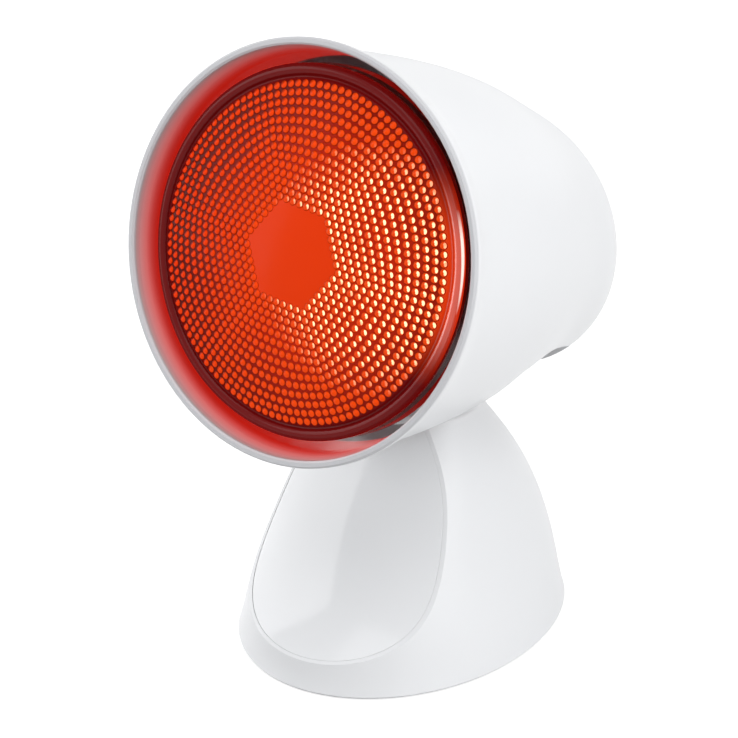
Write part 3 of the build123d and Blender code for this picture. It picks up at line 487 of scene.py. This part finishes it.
# ---------------------------------------------------------------- the bulb's pressed lens
# Depths are behind the rim, and radii from the bulb's axis. The dome ends in a groove, whose section is given
# in shares of its depth and width. Round it is the bead, an arc from one angle to the other, in degrees.
LENS_RADIUS = 0.0605
LENS_APEX = -0.0027
DOME_EDGE = 0.0046
LENS_BACK = 0.0115
LENS_WALL = 0.003
BEAD_RADIUS = 0.00205
BEAD_ARC = (246, 90)
GROOVE_WIDTH = 0.0009
GROOVE_DEPTH = 0.0013
GROOVE_SHAPE = ((0.2, 0.1), (1.0, 0.4), (1.0, 0.8))
SHADED_EDGE_DEPTH = DOME_EDGE + 1.15 * BEAD_RADIUS
LENS_STEPS, DOME_STEPS, INNER_STEPS, BEAD_STEPS = 180, 24, 8, 16
bead_middle = LENS_RADIUS - BEAD_RADIUS
dome_reach = LENS_RADIUS - 2 * BEAD_RADIUS - GROOVE_WIDTH
dome_rise = DOME_EDGE - LENS_APEX
dome_radius = (dome_reach**2 + dome_rise**2) / (2 * dome_rise)


def dome_depth(radius):
    """Depth of the lens's domed face behind the rim at a distance from the axis."""
    return LENS_APEX + dome_radius - math.sqrt(dome_radius**2 - radius**2)


def dome_point(step, steps, wall=0.0):
    """Profile point of the dome, wall behind its face."""
    radius = dome_reach * step / steps
    return dome_depth(radius) + wall, radius


lens_profile = [dome_point(step, DOME_STEPS) for step in range(DOME_STEPS + 1)]
for deep, wide in GROOVE_SHAPE:
    lens_profile.append((DOME_EDGE + deep * GROOVE_DEPTH, dome_reach + wide * GROOVE_WIDTH))
lens_profile += arc((DOME_EDGE + BEAD_RADIUS, bead_middle), BEAD_RADIUS, *BEAD_ARC, BEAD_STEPS)
lens_profile += [(LENS_BACK, LENS_RADIUS), (LENS_BACK, LENS_RADIUS - LENS_WALL)]
lens_profile += [dome_point(step, INNER_STEPS, LENS_WALL) for step in range(INNER_STEPS, -1, -1)]
lens = turned_about_lamp("pressed_lens", lens_profile, LENS_STEPS)
for finish in (ruby, bead_glass, shaded_edge_glass):
    lens.data.materials.append(finish.material)
# The side wall behind the bead takes the glass in painted shade; the bead and the groove's outer half take
# the bead glass
for face in lens.data.polygons:
    place = Vector(face.center) - rim_centre
    depth = place.dot(lamp_back)
    radius = math.hypot(place.x, place.dot(lamp_up))
    if depth > SHADED_EDGE_DEPTH and radius > bead_middle:
        face.material_index = 2
    elif radius > dome_reach + 0.5 * GROOVE_WIDTH and depth < LENS_BACK:
        face.material_index = 1
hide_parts("bulb_lens")
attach(lens, "head")

# Dimples in rings that turn from hexagons round the smooth middle into circles at the edge
DIMPLE_PITCH = 0.0027
FIRST_RING = 7
LAST_RING = 20
RING_TURN = -4
DIMPLE_RADIUS = 0.00140
DIMPLE_HEIGHT = 0.00060
DIMPLE_SUNK = 0.00001


def round_the_axis(degrees):
    """Side and height of a point at radius 1 from the bulb's axis."""
    angle = math.radians(degrees)
    return Vector((math.cos(angle), math.sin(angle)))


def dimple_places():
    """Points of the dimples on the dome, and the directions that they face."""
    places, facings = [], []
    for ring in range(FIRST_RING, LAST_RING + 1):
        roundness = (ring - FIRST_RING) / (LAST_RING - FIRST_RING)
        roundness = roundness * roundness * (3 - 2 * roundness)
        for spot in range(6 * ring):
            side, share = divmod(spot / ring, 1)
            corner = 60 * side + RING_TURN
            straight = round_the_axis(corner).lerp(round_the_axis(corner + 60), share)
            bowed = round_the_axis(corner + 60 * share)
            flat = straight.lerp(bowed, roundness) * ring * DIMPLE_PITCH
            radius = flat.length
            if radius > dome_reach - DIMPLE_RADIUS:
                flat = flat * ((dome_reach - DIMPLE_RADIUS) / radius)
                radius = flat.length
            places.append(lamp_point(dome_depth(radius) - DIMPLE_SUNK, flat.x, flat.y))
            lean = radius / dome_radius
            outward = lamp_direction(flat.x, flat.y, 0) / radius
            facings.append(outward * math.sin(lean) - lamp_back * math.cos(lean))
    return places, facings


dimple_spots, dimple_facings = dimple_places()
spot_mesh = bpy.data.meshes.new("dimple_spots")
spot_mesh.from_pydata([tuple(spot) for spot in dimple_spots], [], [])
facing = spot_mesh.attributes.new("facing", "FLOAT_VECTOR", "POINT")
facing.data.foreach_set("vector", [channel for direction in dimple_facings for channel in direction])
dimples = bpy.data.objects.new("lens_dimples", spot_mesh)
bpy.context.scene.collection.objects.link(dimples)

# One dimple of radius 1 and height 1: rings of these sizes, a crown and a foot below the dome
CAP_SIDES = 12
CAP_LEVELS = (1.0, 0.72, 0.4)
CAP_FOOT = -0.4


def make_dimple_cap():
    """A low cap, closed below, that carries its own height as the attribute crown."""
    points = []
    for level in CAP_LEVELS:
        for side in range(CAP_SIDES):
            angle = 2 * math.pi * side / CAP_SIDES
            points.append((level * math.cos(angle), level * math.sin(angle), 1 - level**2))
    points += [(0, 0, 1), (0, 0, CAP_FOOT)]
    top, foot = len(points) - 2, len(points) - 1
    faces = []
    for side in range(CAP_SIDES):
        following = (side + 1) % CAP_SIDES
        for level in range(len(CAP_LEVELS) - 1):
            start = level * CAP_SIDES
            above = start + CAP_SIDES
            faces.append((start + side, start + following, above + following, above + side))
        start = (len(CAP_LEVELS) - 1) * CAP_SIDES
        faces.append((start + side, start + following, top))
        faces.append((side, foot, following))
    cap = piece_from("dimple_cap", points, faces)
    crown = cap.data.attributes.new("crown", "FLOAT", "POINT")
    crown.data.foreach_set("value", [max(0.0, vertex.co.z) for vertex in cap.data.vertices])
    return cap


def repeat_tree(name, material):
    """Geometry Nodes that set a copy of an object on each point, turned to its facing."""
    tree = bpy.data.node_groups.new(name, "GeometryNodeTree")
    sockets = {
        "Points": "NodeSocketGeometry",
        "Pattern": "NodeSocketObject",
        "Radius": "NodeSocketFloat",
        "Height": "NodeSocketFloat",
    }
    for label, kind in sockets.items():
        tree.interface.new_socket(label, in_out="INPUT", socket_type=kind)
    tree.interface.new_socket("Result", in_out="OUTPUT", socket_type="NodeSocketGeometry")
    nodes, links = tree.nodes, tree.links
    inside, outside = nodes.new("NodeGroupInput"), nodes.new("NodeGroupOutput")
    pattern = nodes.new("GeometryNodeObjectInfo")
    links.new(inside.outputs["Pattern"], pattern.inputs["Object"])
    facing_read = nodes.new("GeometryNodeInputNamedAttribute")
    facing_read.data_type = "FLOAT_VECTOR"
    facing_read.inputs["Name"].default_value = "facing"
    turn = nodes.new("FunctionNodeAlignRotationToVector")
    turn.axis = "Z"
    links.new(facing_read.outputs["Attribute"], turn.inputs["Vector"])
    size = nodes.new("ShaderNodeCombineXYZ")
    for label, axis in (("Radius", "X"), ("Radius", "Y"), ("Height", "Z")):
        links.new(inside.outputs[label], size.inputs[axis])
    repeat = nodes.new("GeometryNodeInstanceOnPoints")
    links.new(inside.outputs["Points"], repeat.inputs["Points"])
    links.new(pattern.outputs["Geometry"], repeat.inputs["Instance"])
    links.new(turn.outputs["Rotation"], repeat.inputs["Rotation"])
    links.new(size.outputs["Vector"], repeat.inputs["Scale"])
    realize = nodes.new("GeometryNodeRealizeInstances")
    links.new(repeat.outputs["Instances"], realize.inputs["Geometry"])
    paint = nodes.new("GeometryNodeSetMaterial")
    paint.inputs["Material"].default_value = material
    links.new(realize.outputs["Geometry"], paint.inputs["Geometry"])
    links.new(paint.outputs["Geometry"], outside.inputs["Result"])
    return tree


def run_tree(piece, tree, **values):
    """Puts a tree on a piece with its named inputs, and keeps the result as a plain mesh."""
    modifier = piece.modifiers.new(tree.name, "NODES")
    modifier.node_group = tree
    for socket in tree.interface.items_tree:
        if socket.in_out == "INPUT" and socket.name in values:
            modifier[socket.identifier] = values[socket.name]
    graph = bpy.context.evaluated_depsgraph_get()
    made = bpy.data.meshes.new_from_object(piece.evaluated_get(graph))
    piece.modifiers.clear()
    made.name = piece.name
    piece.data = made
    for face in made.polygons:
        face.use_smooth = True


dimple_cap = make_dimple_cap()
dimple_tree = repeat_tree("lens dimples", dimple_glass.material)
run_tree(dimples, dimple_tree, Pattern=dimple_cap, Radius=DIMPLE_RADIUS, Height=DIMPLE_HEIGHT)
bpy.data.objects.remove(dimple_cap)
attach(dimples, "head")

# ---------------------------------------------------------------- floor, light and camera
# The floor and the backdrop look white to the eye and in gloss and glass; the floor keeps the lamp's shadow
FLOOR_OWN_LIGHT = 0.76
FLOOR_HALF = 4
FLOOR_GREYS = ((0.44, 0.44, 0.44), (0.46, 0.46, 0.46))
SKY_COLOUR, SKY_STRENGTH = (0.90, 0.92, 0.95, 1), 0.28


def seen_directly(nodes, links):
    """1 for a ray from the eye, or by way of gloss or glass, and 0 for the light that falls on things."""
    ways = nodes.new("ShaderNodeLightPath")
    share = ways.outputs["Is Camera Ray"]
    for way in ("Is Glossy Ray", "Is Transmission Ray"):
        larger = nodes.new("ShaderNodeMath")
        larger.operation = "MAXIMUM"
        links.new(share, larger.inputs[0])
        links.new(ways.outputs[way], larger.inputs[1])
        share = larger.outputs[0]
    return share


floor_finish = Finish("pale floor")
floor_finish.constants(Roughness=0.6, Specular_IOR_Level=0.2, Emission_Color=(1, 1, 1, 1))
floor_finish.colour(floor_finish.blend(floor_finish.noise(2.0), *FLOOR_GREYS))
floor_light = seen_directly(floor_finish.nodes, floor_finish.links)
floor_light = floor_finish.combine("MULTIPLY", floor_light, FLOOR_OWN_LIGHT)
floor_finish.links.new(floor_light, floor_finish.shader.inputs["Emission Strength"])
floor_corners = [(x * FLOOR_HALF, y * FLOOR_HALF, 0) for x, y in ((-1, -1), (1, -1), (1, 1), (-1, 1))]
floor = piece_from("floor", floor_corners, [(0, 1, 2, 3)], smooth=False)
floor.data.materials.append(floor_finish.material)

world = bpy.data.worlds.new("studio")
bpy.context.scene.world = world
world.use_nodes = True
world_nodes, world_links = world.node_tree.nodes, world.node_tree.links
sky = world_nodes["Background"]
sky.inputs["Color"].default_value = SKY_COLOUR
sky.inputs["Strength"].default_value = SKY_STRENGTH
backdrop = world_nodes.new("ShaderNodeBackground")
backdrop.inputs["Color"].default_value = (1, 1, 1, 1)
backdrop.inputs["Strength"].default_value = 1.0
choice = world_nodes.new("ShaderNodeMixShader")
world_links.new(seen_directly(world_nodes, world_links), choice.inputs[0])
world_links.new(sky.outputs[0], choice.inputs[1])
world_links.new(backdrop.outputs[0], choice.inputs[2])
world_links.new(choice.outputs[0], world_nodes["World Output"].inputs["Surface"])

LAMP_MIDDLE = Vector((0, 0, 0.12))


def outward_from_lamp(azimuth, elevation):
    """Direction from the lamp towards a light or the camera, from its angles in radians."""
    level = math.cos(elevation)
    return Vector((math.sin(azimuth) * level, -math.cos(azimuth) * level, math.sin(elevation)))


def softbox(name, azimuth, elevation, distance, width, height, power):
    """Area light that looks at the lamp; azimuth 0 is in front of it and 90 to its +X side."""
    light = bpy.data.lights.new(name, "AREA")
    light.shape = "RECTANGLE"
    light.size, light.size_y = width, height
    light.energy = power
    holder = bpy.data.objects.new(name, light)
    away = outward_from_lamp(math.radians(azimuth), math.radians(elevation))
    holder.location = LAMP_MIDDLE + away * distance
    holder.rotation_mode = "QUATERNION"
    holder.rotation_quaternion = away.to_track_quat("Z", "Y")
    bpy.context.scene.collection.objects.link(holder)


softbox("right softbox", 82, 14, 1.2, 1.1, 1.2, 12.0)
softbox("left softbox", -68, 16, 1.2, 1.5, 1.0, 11.0)
softbox("top softbox", 20, 72, 1.2, 1.2, 1.2, 6.5)
softbox("rear softbox", 190, 8, 1.4, 1.2, 1.0, 2.0)

# Camera: 1 m from the rim's centre, which lands left of and above the middle of the frame
AZIMUTH, ELEVATION, DISTANCE = math.radians(38.0), math.radians(24.0), 1.0
FOCAL_PIXELS, FRAME_PIXELS = 3146.0, 738
RIM_PIXEL = (295.0, 254.0)
SENSOR_WIDTH = 36.0
back = outward_from_lamp(AZIMUTH, ELEVATION)
right = Vector((math.cos(AZIMUTH), math.sin(AZIMUTH), 0))
upward = back.cross(right)
half = FRAME_PIXELS / 2
rim_right, rim_up = (RIM_PIXEL[0] - half) / FOCAL_PIXELS, (half - RIM_PIXEL[1]) / FOCAL_PIXELS
aim = (-back - right * rim_right - upward * rim_up).normalized()
across = (right - aim * right.dot(aim)).normalized()
top = (-aim).cross(across)
camera = bpy.data.cameras.new("camera")
camera.sensor_width = SENSOR_WIDTH
camera.lens = SENSOR_WIDTH * FOCAL_PIXELS / FRAME_PIXELS
camera.clip_start, camera.clip_end = 0.05, 20
camera_holder = bpy.data.objects.new("camera", camera)
turn = Matrix((across, top, -aim)).transposed().to_4x4()
camera_holder.matrix_world = Matrix.Translation(rim_centre + back * DISTANCE) @ turn
bpy.context.scene.collection.objects.link(camera_holder)
bpy.context.scene.camera = camera_holder
bpy.context.scene.view_settings.view_transform = "Standard"
